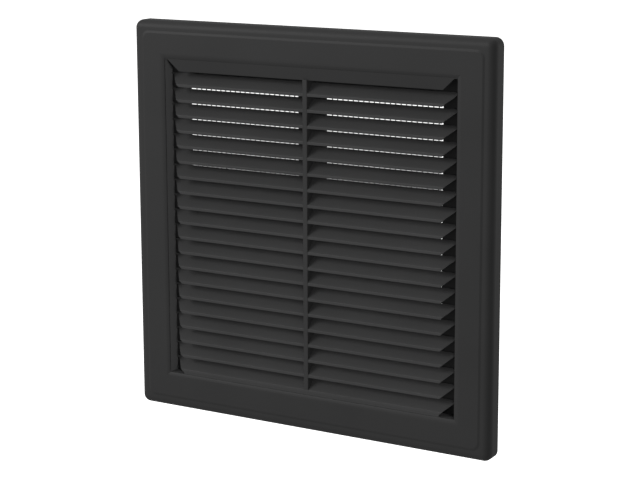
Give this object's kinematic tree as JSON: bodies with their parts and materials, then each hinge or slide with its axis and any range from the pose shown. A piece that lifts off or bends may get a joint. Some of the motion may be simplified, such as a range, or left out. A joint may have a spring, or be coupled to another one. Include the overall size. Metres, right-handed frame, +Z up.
{
  "type": "louvred air grille",
  "caption": "Square matt black plastic louvred air grille: a clip-on cover with fixed rain louvres and a middle rib, an insect screen behind them, on a flat wall frame.",
  "frame": {"origin": "centre of the square, on the plane of the wall that the wall frame is screwed to", "axes": "+Z up, -Y out of the wall towards the viewer of the front, +X to that viewer's right"},
  "size_m": [0.186, 0.0096, 0.186],
  "materials": {
    "cover_plastic": "matt moulded black plastic with a very fine grain",
    "screen_plastic": "plain moulded black plastic",
    "frame_plastic": "plain moulded black plastic"
  },
  "bodies": {
    "wall_frame": {"wall_frame": "frame_plastic"},
    "cover": {"front_bezel": "cover_plastic", "louvre_01": "cover_plastic", "louvre_02": "cover_plastic", "louvre_03": "cover_plastic", "louvre_04": "cover_plastic", "louvre_05": "cover_plastic", "louvre_06": "cover_plastic", "louvre_07": "cover_plastic", "louvre_08": "cover_plastic", "louvre_09": "cover_plastic", "louvre_10": "cover_plastic", "louvre_11": "cover_plastic", "louvre_12": "cover_plastic", "louvre_13": "cover_plastic", "louvre_14": "cover_plastic", "louvre_15": "cover_plastic", "louvre_16": "cover_plastic", "louvre_17": "cover_plastic", "louvre_18": "cover_plastic", "louvre_19": "cover_plastic", "louvre_20": "cover_plastic", "louvre_21": "cover_plastic", "mullion": "cover_plastic"},
    "screen": {"screen_frame": "screen_plastic", "screen_mesh_left": "screen_plastic", "screen_mesh_right": "screen_plastic"}
  },
  "joints": [
    {"name": "cover_pull_off", "type": "slide", "parent": "wall_frame", "child": "cover", "axis": [0, -1, 0], "range_m": [0, 0.03]},
    {"name": "screen_unclip", "type": "slide", "parent": "cover", "child": "screen", "axis": [0, 1, 0], "range_m": [0, 0.012]}
  ]
}
